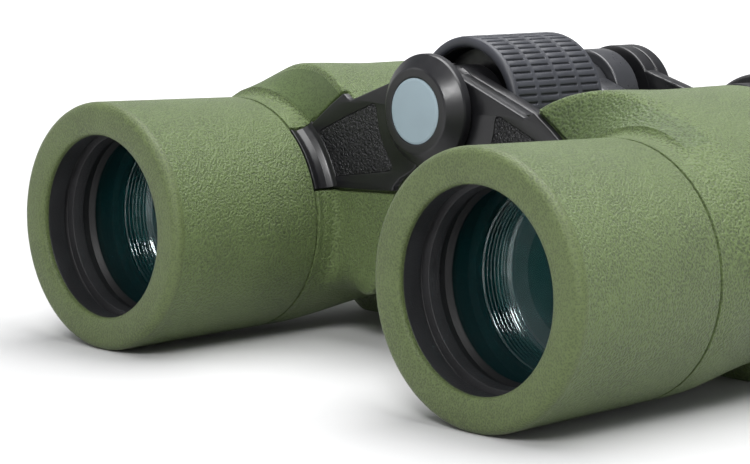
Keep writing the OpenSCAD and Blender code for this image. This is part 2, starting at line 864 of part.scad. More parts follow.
side(-1) eyecup();  // right_eyecup
dioptre_ring();
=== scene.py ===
import math

import bmesh
import bpy
import numpy as np
from mathutils import Matrix, Vector
from mathutils.geometry import tessellate_polygon


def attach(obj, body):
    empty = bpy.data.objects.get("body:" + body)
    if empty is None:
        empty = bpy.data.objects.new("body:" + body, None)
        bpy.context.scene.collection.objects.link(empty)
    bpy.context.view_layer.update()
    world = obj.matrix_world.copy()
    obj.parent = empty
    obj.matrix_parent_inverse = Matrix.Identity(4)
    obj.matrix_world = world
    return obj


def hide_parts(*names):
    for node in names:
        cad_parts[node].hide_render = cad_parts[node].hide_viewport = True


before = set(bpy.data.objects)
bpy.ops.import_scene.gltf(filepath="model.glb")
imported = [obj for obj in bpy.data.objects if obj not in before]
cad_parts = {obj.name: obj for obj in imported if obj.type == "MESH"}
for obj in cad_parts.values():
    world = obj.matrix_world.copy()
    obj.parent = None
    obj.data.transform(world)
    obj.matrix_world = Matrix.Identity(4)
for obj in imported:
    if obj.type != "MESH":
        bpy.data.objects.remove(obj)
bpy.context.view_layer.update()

# Shapes are drawn in millimetres in the optical frame of the part: x from the hinge plane, y back from
# the front rims, z from the objective axes. ROW moves them to the resting frame.
ROW = np.array([0.0, -77.0, 30.4])
# Objective axis (x), eyepiece axis (x and z), hinge axis (z), and the point the armour is drawn round
OX, EX, EZ, HZ = 63.8, 34.0, 18.0, 30.5
CORE = np.array([48.0, 4.0])


# ---- Camera -------------------------------------------------------------------------------

def add_camera():
    az, el, roll = (math.radians(v) for v in (46.5, 7.83, 0.67))
    back = Vector((math.sin(az) * math.cos(el), -math.cos(az) * math.cos(el), math.sin(el)))
    side = (-back).cross(Vector((0, 0, 1))).normalized()
    up = side.cross(-back)
    x_axis = side * math.cos(roll) + up * math.sin(roll)
    y_axis = up * math.cos(roll) - side * math.sin(roll)
    turn = Matrix((x_axis, y_axis, back)).transposed().to_4x4()
    turn.translation = (0.4392, -0.4611, 0.1165)
    data = bpy.data.cameras.new("camera")
    data.lens = 125.3
    data.sensor_width = 36
    data.clip_start = 0.01
    camera = bpy.data.objects.new("camera", data)
    camera.matrix_world = turn
    bpy.context.scene.collection.objects.link(camera)
    bpy.context.scene.camera = camera


add_camera()


# ---- Meshes -------------------------------------------------------------------------------

def make(name, verts, faces, mat, body, node, slot, angle=32, mirror=False, flat_from=5, flat=False):
    """A piece from points in the optical frame, in millimetres. mirror draws the right half's.
    Faces with flat_from corners or more are flat caps, and so are three-cornered ones if flat is set."""
    co = np.asarray(verts, float).copy()
    if mirror:
        co[:, 0] *= -1
    co = (co + ROW) * 0.001
    me = bpy.data.meshes.new(name)
    me.from_pydata(co.tolist(), [], [list(f) for f in faces])
    me.polygons.foreach_set("use_smooth", [len(f) < flat_from and not (flat and len(f) == 3) for f in faces])
    bm = bmesh.new()
    bm.from_mesh(me)
    bmesh.ops.remove_doubles(bm, verts=bm.verts, dist=1e-6)
    bmesh.ops.recalc_face_normals(bm, faces=bm.faces)
    bm.to_mesh(me)
    bm.free()
    me.set_sharp_from_angle(angle=math.radians(angle))
    me.materials.append(mat)
    ob = bpy.data.objects.new(name, me)
    bpy.context.scene.collection.objects.link(ob)
    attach(ob, body)
    if node:
        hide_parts(*([node] if isinstance(node, str) else node))
    return ob


def join_parts(*parts):
    """One list of points and faces from several."""
    verts, faces, n = [], [], 0
    for v, f in parts:
        verts.append(np.asarray(v, float))
        faces += [[i + n for i in q] for q in f]
        n += len(v)
    return np.vstack(verts), faces


def rounded(points, radius, steps=3):
    """An outline with its corners rounded. A point may carry its own radius as a third number."""
    out = []
    n = len(points)
    for i, p in enumerate(points):
        r = p[2] if len(p) > 2 else radius
        c = np.array(p[:2], float)
        if r <= 0:
            out.append(c)
            continue
        a = np.array(points[i - 1][:2], float) - c
        b = np.array(points[(i + 1) % n][:2], float) - c
        la, lb = np.linalg.norm(a), np.linalg.norm(b)
        cosine = np.clip(a @ b / (la * lb), -1, 1)
        half = math.acos(cosine) / 2
        t = min(r / max(math.tan(half), 1e-3), 0.45 * la, 0.45 * lb)
        p0, p2 = c + a / la * t, c + b / lb * t
        if t < 0.01 or half > 1.5:
            out.append(c)
            continue
        for k in range(steps + 1):
            s = k / steps
            out.append((1 - s) ** 2 * p0 + 2 * s * (1 - s) * c + s * s * p2)
    return np.array(out)


def lathe(cx, cz, profile, seg=160, shape=None):
    """A body of revolution from a closed outline of radius and y. shape(angle, r, y) changes the radius."""
    profile = np.asarray(profile, float)
    m = len(profile)
    verts = []
    for i in range(seg):
        a = 2 * math.pi * i / seg
        r = profile[:, 0] if shape is None else shape(a, profile[:, 0], profile[:, 1])
        verts.append(np.stack([cx + r * math.cos(a), profile[:, 1], cz + r * math.sin(a)], 1))
    faces = []
    for i in range(seg):
        j = (i + 1) % seg
        for k in range(m):
            n = (k + 1) % m
            if profile[k, 0] < 1e-6 and profile[n, 0] < 1e-6:
                continue
            faces.append([i * m + k, j * m + k, j * m + n, i * m + n])
    return np.vstack(verts), faces


def inset(outline, d):
    """The outline moved inwards by d, point by point."""
    p = np.asarray(outline, float)
    area = 0.5 * np.sum(p[:, 0] * np.roll(p[:, 1], -1) - np.roll(p[:, 0], -1) * p[:, 1])
    sign = 1 if area > 0 else -1
    a = p - np.roll(p, 1, 0)
    b = np.roll(p, -1, 0) - p
    na = np.stack([-a[:, 1], a[:, 0]], 1) / np.maximum(np.linalg.norm(a, axis=1), 1e-9)[:, None]
    nb = np.stack([-b[:, 1], b[:, 0]], 1) / np.maximum(np.linalg.norm(b, axis=1), 1e-9)[:, None]
    n = na + nb
    n /= np.maximum(np.linalg.norm(n, axis=1), 1e-9)[:, None]
    k = 1 / np.clip(np.sum(n * na, axis=1), 0.5, 1)
    return p + sign * d * k[:, None] * n


def slab(outline, y0, y1, bevel=0.5, steps=3):
    """A plate with an outline in x and z between y0 and y1, with rounded edges."""
    turns = [math.pi / 2 * k / steps for k in range(steps + 1)]
    rings = [(bevel * (1 - math.sin(t)), y0 + bevel * (1 - math.cos(t))) for t in turns]
    rings += [(bevel * (1 - math.sin(t)), y1 - bevel * (1 - math.cos(t))) for t in reversed(turns)]
    n = len(outline)
    verts = []
    for d, y in rings:
        q = inset(outline, d) if d > 1e-6 else np.asarray(outline, float)
        verts.append(np.stack([q[:, 0], np.full(n, y), q[:, 1]], 1))
    faces = []
    for k in range(len(rings) - 1):
        for i in range(n):
            j = (i + 1) % n
            faces.append([k * n + i, k * n + j, (k + 1) * n + j, (k + 1) * n + i])
    faces.append(list(range(n)))
    faces.append([(len(rings) - 1) * n + i for i in range(n)])
    return np.vstack(verts), faces


def sweep(cx, cz, section, a0, a1, steps):
    """A section of radius and y carried along an arc, in degrees, with closed ends."""
    m = len(section)
    verts = []
    for i in range(steps + 1):
        a = math.radians(a0 + (a1 - a0) * i / steps)
        verts.append(np.stack([cx + section[:, 0] * math.cos(a), section[:, 1],
                               cz + section[:, 0] * math.sin(a)], 1))
    faces = [[i * m + k, (i + 1) * m + k, (i + 1) * m + (k + 1) % m, i * m + (k + 1) % m]
             for i in range(steps) for k in range(m)]
    faces.append(list(range(m)))
    faces.append([steps * m + k for k in range(m)])
    return np.vstack(verts), faces


def arc(cx, cy, r, a0, a1, n):
    """Points on an arc from a0 to a1, in degrees."""
    t = np.radians(np.linspace(a0, a1, n + 1))
    return [(cx + r * math.cos(a), cy + r * math.sin(a)) for a in t]


def tube_section(inner, outer, y0, y1):
    return [(inner, y0), (outer, y0), (outer, y1), (inner, y1)]


def lens_face(rim_y, ball, sign, rim_r, n):
    """Points of a face of a lens from the axis out to the rim. ball is the radius of the sphere."""
    def sag(r):
        return ball - math.sqrt(ball * ball - r * r)
    return [(r, rim_y + sign * (sag(r) - sag(rim_r))) for r in np.linspace(0, rim_r, n + 1)]


# ---- Materials ----------------------------------------------------------------------------

def nodes_of(name):
    mat = bpy.data.materials.new(name)
    mat.use_nodes = True
    tree = mat.node_tree
    tree.nodes.clear()
    out = tree.nodes.new("ShaderNodeOutputMaterial")
    bsdf = tree.nodes.new("ShaderNodeBsdfPrincipled")
    tree.links.new(bsdf.outputs[0], out.inputs[0])
    coord = tree.nodes.new("ShaderNodeTexCoord")
    return mat, tree, bsdf, coord.outputs["Object"]


def noise(tree, vec, scale, detail, rough):
    n = tree.nodes.new("ShaderNodeTexNoise")
    n.inputs["Scale"].default_value = scale
    n.inputs["Detail"].default_value = detail
    n.inputs["Roughness"].default_value = rough
    tree.links.new(vec, n.inputs["Vector"])
    return n.outputs["Fac"]


def cells(tree, vec, scale, feature="SMOOTH_F1"):
    n = tree.nodes.new("ShaderNodeTexVoronoi")
    n.feature = feature
    n.inputs["Scale"].default_value = scale
    if feature == "SMOOTH_F1":
        n.inputs["Smoothness"].default_value = 0.6
    tree.links.new(vec, n.inputs["Vector"])
    return n.outputs["Distance"]


def ramp(tree, fac, stops):
    n = tree.nodes.new("ShaderNodeValToRGB")
    n.color_ramp.elements[0].position = stops[0][0]
    n.color_ramp.elements[0].color = stops[0][1]
    n.color_ramp.elements[1].position = stops[-1][0]
    n.color_ramp.elements[1].color = stops[-1][1]
    for pos, col in stops[1:-1]:
        n.color_ramp.elements.new(pos).color = col
    tree.links.new(fac, n.inputs["Fac"])
    return n.outputs["Color"]


def spread(tree, value, low, high, to_low, to_high):
    n = tree.nodes.new("ShaderNodeMapRange")
    for key, v in zip(("From Min", "From Max", "To Min", "To Max"), (low, high, to_low, to_high)):
        n.inputs[key].default_value = v
    tree.links.new(value, n.inputs["Value"])
    return n.outputs["Result"]


def maths(tree, op, a, b):
    n = tree.nodes.new("ShaderNodeMath")
    n.operation = op
    for i, v in enumerate((a, b)):
        if isinstance(v, (int, float)):
            n.inputs[i].default_value = v
        else:
            tree.links.new(v, n.inputs[i])
    return n.outputs[0]


def bump(tree, bsdf, height, strength, distance):
    n = tree.nodes.new("ShaderNodeBump")
    n.inputs["Strength"].default_value = strength
    n.inputs["Distance"].default_value = distance
    tree.links.new(height, n.inputs["Height"])
    tree.links.new(n.outputs[0], bsdf.inputs["Normal"])


def rgba(c):
    return (c[0], c[1], c[2], 1.0)


def shade(c, k):
    return (c[0] * k, c[1] * k, c[2] * k, 1.0)


def rubber(name, colour, cell, depth, rough, sheen=0.06, crack=0.0):
    """Moulded rubber with a pebble or leather grain, cell in millimetres, with painted shade and highlight of
    that grain in its colour.
    """
    mat, tree, bsdf, obj = nodes_of(name)
    pebble = cells(tree, obj, 1000 / cell)
    fine = noise(tree, obj, 2600 / cell, 3.0, 0.6)
    broad = noise(tree, obj, 60, 3.0, 0.5)
    height = maths(tree, "ADD", pebble, maths(tree, "MULTIPLY", fine, 0.6))
    if crack:
        crease = cells(tree, obj, 520 / cell, "DISTANCE_TO_EDGE")
        height = maths(tree, "ADD", height, maths(tree, "MULTIPLY",
                       spread(tree, crease, 0.0, 0.25, 0.0, 1.0), crack))
    # Painted shade and highlight of the grain, plus a random tone: the colour is darker where the pebble
    # height is low and lighter where it is high, with broad noise added, so that the grain shows where the
    # light is flat
    grain_shade_and_tone = maths(tree, "ADD", maths(tree, "MULTIPLY", pebble, 0.8), maths(tree, "MULTIPLY", broad, 0.4))
    tree.links.new(ramp(tree, grain_shade_and_tone, [(0.28, shade(colour, 0.62)), (0.46, rgba(colour)),
                                       (0.68, shade(colour, 1.4))]), bsdf.inputs["Base Color"])
    tree.links.new(spread(tree, fine, 0.3, 0.7, rough - 0.06, rough + 0.08), bsdf.inputs["Roughness"])
    bsdf.inputs["Specular IOR Level"].default_value = 0.42
    bsdf.inputs["Sheen Weight"].default_value = sheen
    bsdf.inputs["Sheen Roughness"].default_value = 0.5
    bump(tree, bsdf, height, depth, 0.00036)
    return mat


def plastic(name, colour, rough, grain=0.9, depth=0.12, coat=0.0, metallic=0.0, uneven=0.22):
    """Moulded plastic or painted metal with a faint texture and uneven gloss."""
    mat, tree, bsdf, obj = nodes_of(name)
    fine = noise(tree, obj, 1000 / grain, 3.0, 0.6)
    broad = noise(tree, obj, 90, 3.0, 0.55)
    tree.links.new(ramp(tree, broad, [(0.3, shade(colour, 1 - uneven)), (0.7, shade(colour, 1 + uneven))]),
                   bsdf.inputs["Base Color"])
    both = maths(tree, "ADD", maths(tree, "MULTIPLY", fine, 0.6), maths(tree, "MULTIPLY", broad, 0.4))
    tree.links.new(spread(tree, both, 0.3, 0.7, rough - 0.06, rough + 0.07), bsdf.inputs["Roughness"])
    bsdf.inputs["Metallic"].default_value = metallic
    bsdf.inputs["Coat Weight"].default_value = coat
    bsdf.inputs["Coat Roughness"].default_value = 0.2
    bump(tree, bsdf, fine, depth, 0.00012)
    return mat


def turned_metal(name, colour, rough, centre_x, centre_z):
    """Turned metal with a fine noise texture in its colour, gloss and bump, placed from an axis along y."""
    mat, tree, bsdf, obj = nodes_of(name)
    place = tree.nodes.new("ShaderNodeMapping")
    place.inputs["Location"].default_value = (-centre_x, 0, -centre_z)
    tree.links.new(obj, place.inputs["Vector"])
    lines = noise(tree, place.outputs[0], 2200, 2.0, 0.6)
    tree.links.new(ramp(tree, lines, [(0.3, shade(colour, 0.75)), (0.7, shade(colour, 1.2))]),
                   bsdf.inputs["Base Color"])
    tree.links.new(spread(tree, lines, 0.3, 0.7, rough - 0.05, rough + 0.08), bsdf.inputs["Roughness"])
    bsdf.inputs["Metallic"].default_value = 1.0
    bump(tree, bsdf, lines, 0.12, 0.0001)
    return mat


def coated_glass(name, body_colour, tint, alpha_face, alpha_edge, ior):
    """A lens seen from outside: a tinted coating that mirrors more at a glance, over clear glass."""
    mat, tree, bsdf, obj = nodes_of(name)
    layer = tree.nodes.new("ShaderNodeLayerWeight")
    layer.inputs["Blend"].default_value = 0.35
    smear = noise(tree, obj, 45, 2.0, 0.5)
    facing = maths(tree, "ADD", layer.outputs["Facing"], maths(tree, "MULTIPLY", smear, 0.06))
    tree.links.new(spread(tree, facing, 0.1, 0.9, alpha_face, alpha_edge), bsdf.inputs["Alpha"])
    tree.links.new(ramp(tree, smear, [(0.35, shade(body_colour, 0.85)), (0.65, shade(body_colour, 1.15))]),
                   bsdf.inputs["Base Color"])
    tree.links.new(spread(tree, smear, 0.3, 0.7, 0.015, 0.03), bsdf.inputs["Roughness"])
    bsdf.inputs["IOR"].default_value = ior
    bsdf.inputs["Specular Tint"].default_value = rgba(tint)
    return mat


OLIVE = (0.074, 0.106, 0.034)
SLEEVE = rubber("sleeve_rubber_pebble", OLIVE, 0.55, 1.0, 0.42)
RIM = rubber("sleeve_rim_fine_grain", (0.066, 0.090, 0.030), 0.42, 0.4, 0.5)
ARMOR = rubber("armor_rubber_leather", OLIVE, 0.58, 1.0, 0.44)
# The two wall materials are darker than the armour: painted shade on the flat wall above the bridge
SHADED_WALL_GRAIN = rubber("armor_wall_coarse_grain", (0.054, 0.082, 0.024), 0.7, 1.0, 0.40, crack=0.25)
SHADED_FAR_WALL = rubber("armor_wall_smooth", (0.052, 0.078, 0.024), 0.5, 0.12, 0.55)
BLACK = plastic("black_satin_plastic", (0.0085, 0.0085, 0.0098), 0.33, 1.4, 0.10)
ANODISED = plastic("black_anodised_metal", (0.007, 0.007, 0.0075), 0.5, 0.45, 0.3)
THREADS = plastic("turned_threads", (0.16, 0.18, 0.18), 0.14, 0.8, 0.0, metallic=1.0)
# The front ring is black metal with a lighter colour than the black anodised metal beside it: painted light
# on a ring that sits in shade
LIT_FRONT_RING = plastic("front_ring_grained_painted_light", (0.020, 0.020, 0.0215), 0.5, 0.5, 0.9)
FLANGE = plastic("matte_grey_baffle", (0.085, 0.09, 0.095), 0.75, 0.35, 0.25)
CASE = plastic("case_die_cast", (0.05, 0.05, 0.055), 0.55, 0.6, 0.2, metallic=0.6)
GRAPHITE = plastic("graphite_satin", (0.030, 0.031, 0.035), 0.30, 1.2, 0.08, coat=0.1)
WHEEL = plastic("wheel_rubber_grip", (0.030, 0.032, 0.040), 0.48, 0.45, 0.14)
GRAIN = rubber("inlay_leather_grain", (0.009, 0.009, 0.010), 0.6, 1.0, 0.28, sheen=0.0, crack=0.6)
LABEL = plastic("pale_label_disc", (0.26, 0.335, 0.375), 0.45, 1.5, 0.03, uneven=0.04)
STEEL = turned_metal("turned_steel", (0.55, 0.56, 0.58), 0.3, 0.0, 0.0609)
CLIP = plastic("spring_steel", (0.5, 0.5, 0.52), 0.32, 0.8, 0.05, metallic=1.0)
EYE_RUBBER = rubber("eyecup_rubber", (0.014, 0.014, 0.015), 0.6, 0.25, 0.52, sheen=0.05)
OBJECTIVE = coated_glass("objective_coated_glass", (0.002, 0.042, 0.042), (0.20, 0.95, 0.85), 0.07, 0.34, 1.7)
INNER_GLASS = coated_glass("doublet_rear_glass", (0.002, 0.030, 0.042), (0.3, 0.7, 1.0), 0.05, 0.22, 1.5)
EYE_GLASS = coated_glass("eyepiece_coated_glass", (0.004, 0.008, 0.030), (0.5, 0.7, 1.0), 0.35, 0.8, 1.8)
PRISM = coated_glass("prism_glass", (0.10, 0.13, 0.13), (0.9, 1.0, 1.0), 0.35, 0.7, 1.5)

HALVES = (("left", False), ("right", True))


# ---- Objectives ---------------------------------------------------------------------------

def objective(half, mirror):
    body = half + "_half"

    def part(suffix, profile, mat, slot, seg=220, angle=32, shape=None):
        return make(half + "_" + suffix + "_piece", *lathe(OX, 0, profile, seg, shape), mat, body,
                    half + "_" + suffix, slot, angle, mirror)

    lip = [(23.4, 2.1), (22.5, 2.05), (22.35, 1.9), (22.32, 1.4), (22.38, 1.0), (22.55, 0.68), (22.9, 0.42),
           (23.5, 0.22), (24.4, 0.08), (25.5, 0.01), (26.6, 0)]
    barrel = [(30.4, 2.5), (30.36, 2.7), (30.34, 5), (29.4, 44.9), (29.25, 45.6), (28.7, 45.95), (27.6, 46),
              (25, 46), (25, 4.2), (23.4, 4.2)]
    sleeve = lip + arc(28.2, 2.2, 2.2, 276, 356, 12) + barrel
    ob = part("objective_sleeve", sleeve, SLEEVE, "sleeve_rubber", 288, 40)
    ob.data.materials.append(RIM)
    rim_end = -0.0744
    for p in ob.data.polygons:
        p.material_index = int(p.center[1] < rim_end)
    ring = [(24.9, 4.3, 0), (24.9, 12.2, 0), (21.6, 12.2), (22, 9.2), (24.1, 9.0), (24.1, 7.3), (22.7, 7.1),
            (22.7, 2.4), (23.0, 2.15), (23.3, 2.15), (23.3, 4.3)]
    part("front_ring", rounded(ring, 0.15), LIT_FRONT_RING, "black_metal")
    part("retaining_ring", rounded([(23.2, 12.6, 0), (23.2, 15.9, 0), (21.4, 15.9, 0.05), (21.6, 15.5),
                                    (22.3, 14.4), (22.3, 12.6)], 0.15), ANODISED, "black_metal")

    part("crown_lens", lens_face(16.5, 95, 1, 23.2, 20) + lens_face(18.6, 75, -1, 23.2, 20)[::-1], OBJECTIVE,
         "lens", 128)
    part("flint_lens", lens_face(18.8, 75, -1, 23.2, 20) + [(23.2, 22.5), (0, 23.1)], INNER_GLASS,
         "lens", 128)
    baffle_tube(half, mirror)


def baffle_tube(half, mirror):
    """The tube behind the objective: a short thread, then a matte step that stops stray light."""
    pitch = 1.15
    threads = []
    for i in range(5, -1, -1):
        y = 24.8 + pitch * i
        threads += [(21.4, y + 0.62), (21.1, y + 0.55), (20.5, y + 0.42), (20.25, y + 0.2), (20.25, y),
                    (20.5, y - 0.22), (21.1, y - 0.35), (21.4, y - 0.42)]
    step = [(19, 51), (15, 34.4), (15, 33), (18.9, 33), (19.1, 32.9), (19.3, 32.4), (19.9, 32.2),
            (20.4, 32.0), (20.5, 31.6)]
    profile = [(23.2, 24.1), (23.2, 51)] + step + threads + [(21.4, 24.1)]
    ob = make(half + "_baffle_tube_piece", *lathe(OX, 0, profile, 200), THREADS, half + "_half",
              half + "_baffle_tube", "black_metal", 60, mirror)
    ob.data.materials.append(FLANGE)
    ob.data.materials.append(ANODISED)
    step_y, root_r = -0.0446, 0.0211
    for p in ob.data.polygons:
        across = math.hypot(abs(p.center[0]) - 0.0638, p.center[2] - 0.0304)
        p.material_index = 1 if p.center[1] > step_y else 2 if across > root_r else 0


# ---- Armour -------------------------------------------------------------------------------

BODY_OUTLINE = [
    (94.2, 3), (92, 12.5), (87.2, 21.3), (79, 28.6), (70.6, 33.4), (62, 36.7), (55, 38.05), (47.5, 38.1),
    (41, 36.8), (36.4, 35), (33.4, 33.4), (32.2, 32.7), (31.2, 31.9), (25.5, 28), (20, 22.5),
    (16.5, 15), (15, 8), (16.6, -4), (19.5, -13), (24.5, -17.3), (34, -18.2), (46, -21.7),
    (58, -24.2), (70, -24), (82, -19.5), (90.5, -9.5)]
CASE_OUTLINE = [
    (91.2, 0), (89.4, 9.5), (84, 18.5), (75.5, 24.8), (64, 27.2), (56, 28.6), (49.5, 29.3),
    (45.5, 30.4), (41.2, 31.4), (37.8, 31.7), (33.8, 31.2), (26.8, 26.9), (21.8, 21.4), (18.4, 14.4),
    (17, 8), (18.4, -3.4), (21.2, -11.6), (25.6, -15.4), (34.4, -16.3), (46.4, -19.7),
    (58.2, -22.2), (69.4, -22), (80.4, -18), (88.2, -8.6)]
RIDGE = [(-180, 52.4), (-138, 52.4), (-118, 62), (-95, 88), (-50, 88), (-25, 70), (0, 56), (12, 56.4),
         (22, 57.7), (31, 58.5), (39, 60), (49, 62), (57, 61.4), (68, 59.4), (76, 58.3), (82, 57.9),
         (90, 56.9), (98, 55.4), (106, 54.1), (112, 53.1), (118, 52.4), (180, 52.4)]
# Share of a flat wall, and of a flare that widens from the seam, in the front of the armour, by angle.
# The rest of the front is a plain slope.
WALL = [(-180, 1), (-132, 1), (-108, 0), (0, 0), (15, 0.1), (30, 0.25), (45, 0.65), (58, 1), (180, 1)]
FLARE = [(-180, 0), (-25, 0), (0, 0.5), (15, 0.9), (30, 0.75), (45, 0.35), (58, 0), (180, 0)]
SEAM_R = 29.3
WALL_Y = 52.4
FRONT_STEPS = 33
COLUMNS = 720


def closed_curve(points, n):
    p = np.array(points, float)
    m = len(p)
    out = []
    for i in range(m):
        a, b, c, d = p[i - 1], p[i], p[(i + 1) % m], p[(i + 2) % m]
        for j in range(n):
            t = j / n
            out.append((2 * b + (c - a) * t + (2 * a - 5 * b + 4 * c - d) * t * t
                        + (3 * b - 3 * c + d - a) * t ** 3) / 2)
    return np.array(out)


def reach(u, outline):
    """Distance from the core to a closed outline in each direction."""
    a = outline - CORE
    e = np.roll(outline, -1, 0) - outline
    k = u[:, 0:1] * e[None, :, 1] - u[:, 1:2] * e[None, :, 0]
    s = (a[None, :, 0] * u[:, 1:2] - a[None, :, 1] * u[:, 0:1]) / np.where(abs(k) < 1e-9, 1e9, k)
    t = (a[None, :, 0] * e[None, :, 1] - a[None, :, 1] * e[None, :, 0]) / np.where(abs(k) < 1e-9, 1e9, k)
    return np.where((s >= 0) & (s <= 1), t, 0).max(1)


def reach_circle(u, r):
    d = np.array([OX, 0.0]) - CORE
    b = u @ d
    return b + np.sqrt(r * r - d @ d + b * b)


def ease(t):
    c = np.clip(t, 0, 1)
    return c * c * (3 - 2 * c)


def outline_distance(x, z, outline):
    """Signed distance to a closed outline, negative inside."""
    p = np.stack([x.ravel(), z.ravel()], 1)
    a = np.asarray(outline, float)
    b = np.roll(a, -1, 0)
    best = np.full(len(p), 1e9)
    inside = np.zeros(len(p), bool)
    for p0, p1 in zip(a, b):
        e = p1 - p0
        t = np.clip(((p - p0) @ e) / max(e @ e, 1e-12), 0, 1)
        best = np.minimum(best, np.linalg.norm(p - p0 - t[:, None] * e, axis=1))
        crossing = (p0[1] > p[:, 1]) != (p1[1] > p[:, 1])
        with np.errstate(divide="ignore", invalid="ignore"):
            xc = p0[0] + (p[:, 1] - p0[1]) * (p1[0] - p0[0]) / (p1[1] - p0[1])
        inside ^= crossing & (p[:, 0] < xc)
    return np.where(inside, -best, best).reshape(x.shape)


# Plate of the front bridge, and the bed for it in the armour
PLATE = ([(4.0, 40.0), (29.4, 30.75), (30.6, 31.2), (32, 32.3), (37, 28.9)]
         + arc(OX, 0, 29.35, 129.5, 162.7, 14)
         + [(36.0, 8.45), (14, 9.6), (13.6, 10.9), (11.4, 13), (6.4, 15.7), (3.8, 20.6)])
SADDLE = (129.5, 163.0)


def by_angle(signed, table):
    return np.interp(signed, *zip(*table))


def blurred(values):
    """Values round the ring, smoothed over a few degrees."""
    reach_out = 24
    kernel = np.exp(-0.5 * (np.arange(-reach_out, reach_out + 1) / 8.0) ** 2)
    kernel /= kernel.sum()
    return np.convolve(np.concatenate([values[-reach_out:], values, values[:reach_out]]), kernel, "valid")


def front_paths(signed, r0, r1, w, flare, ridge, cor):
    """Rings of radius and y from the seam out to the crest: a wall, a flare and a slope, mixed by angle."""
    span = r1 - r0
    fil = np.clip(0.6 * span, 0.2, np.interp(signed, [-180, 55, 88, 180], [2.2, 2.8, 1.8, 2.2]))
    slope = ridge - WALL_Y
    lean = np.hypot(span - fil, slope)
    corner_r, corner_y = r1 - (span - fil) / lean * cor, ridge - slope / lean * cor
    paths = []
    for k in range(FRONT_STEPS):
        if k < 9:
            t = math.radians(90 * k / 8)
            wall = (r0 + fil * (1 - math.cos(t)), WALL_Y - fil * (1 - math.sin(t)))
        elif k < 25:
            t = (k - 8) / 17
            wall = (r0 + fil + (corner_r - r0 - fil) * t, WALL_Y + (corner_y - WALL_Y) * t)
        else:
            t = (k - 24) / 8
            wall = ((1 - t) ** 2 * corner_r + (2 * t - t * t) * r1,
                    (1 - t) ** 2 * corner_y + 2 * t * (1 - t) * ridge + t * t * (ridge + cor))
        t = k / (FRONT_STEPS - 1)
        curve = (r0 + span * ease(t), 49.8 + (ridge + cor - 49.8) * t)
        if k < 25:
            t = k / 25
            wide = (r0 + (span - 0.35 * cor) * t ** 1.6, 49.6 + (ridge - 49.6) * t)
        else:
            t = math.radians(90 * (k - 25) / 7)
            wide = (r1 - 0.35 * cor * (1 - math.sin(t)), ridge + cor * (1 - math.cos(t)))
        paths.append(tuple(w * wall[i] + flare * wide[i] + (1 - w - flare) * curve[i] for i in (0, 1)))
    return paths


def bed_for_bridge(x, y, z, front):
    """The wall steps back under the bridge plate, and the collar steps in under the saddle."""
    d = outline_distance(x, z, PLATE)
    near = (y < WALL_Y + 1.4) & front & (y > 50.2)
    y = np.where(near, y + 1.25 * ease((0.95 - d) / 0.6) * (d < 0.95), y)
    qx = x - OX
    qa = np.degrees(np.arctan2(z, qx))
    qr = np.hypot(qx, z)
    under = ease((qa - SADDLE[0] + 1.3) / 0.9) * ease((SADDLE[1] + 1.3 - qa) / 0.9)
    under = under * (front & (qr < SEAM_R + 3.2) & (y < 54.2))
    keep = np.minimum(qr, 27.4) / qr
    return (np.where(under > 0, OX + qx * (1 + (keep - 1) * under), x), y,
            np.where(under > 0, z * (1 + (keep - 1) * under), z))


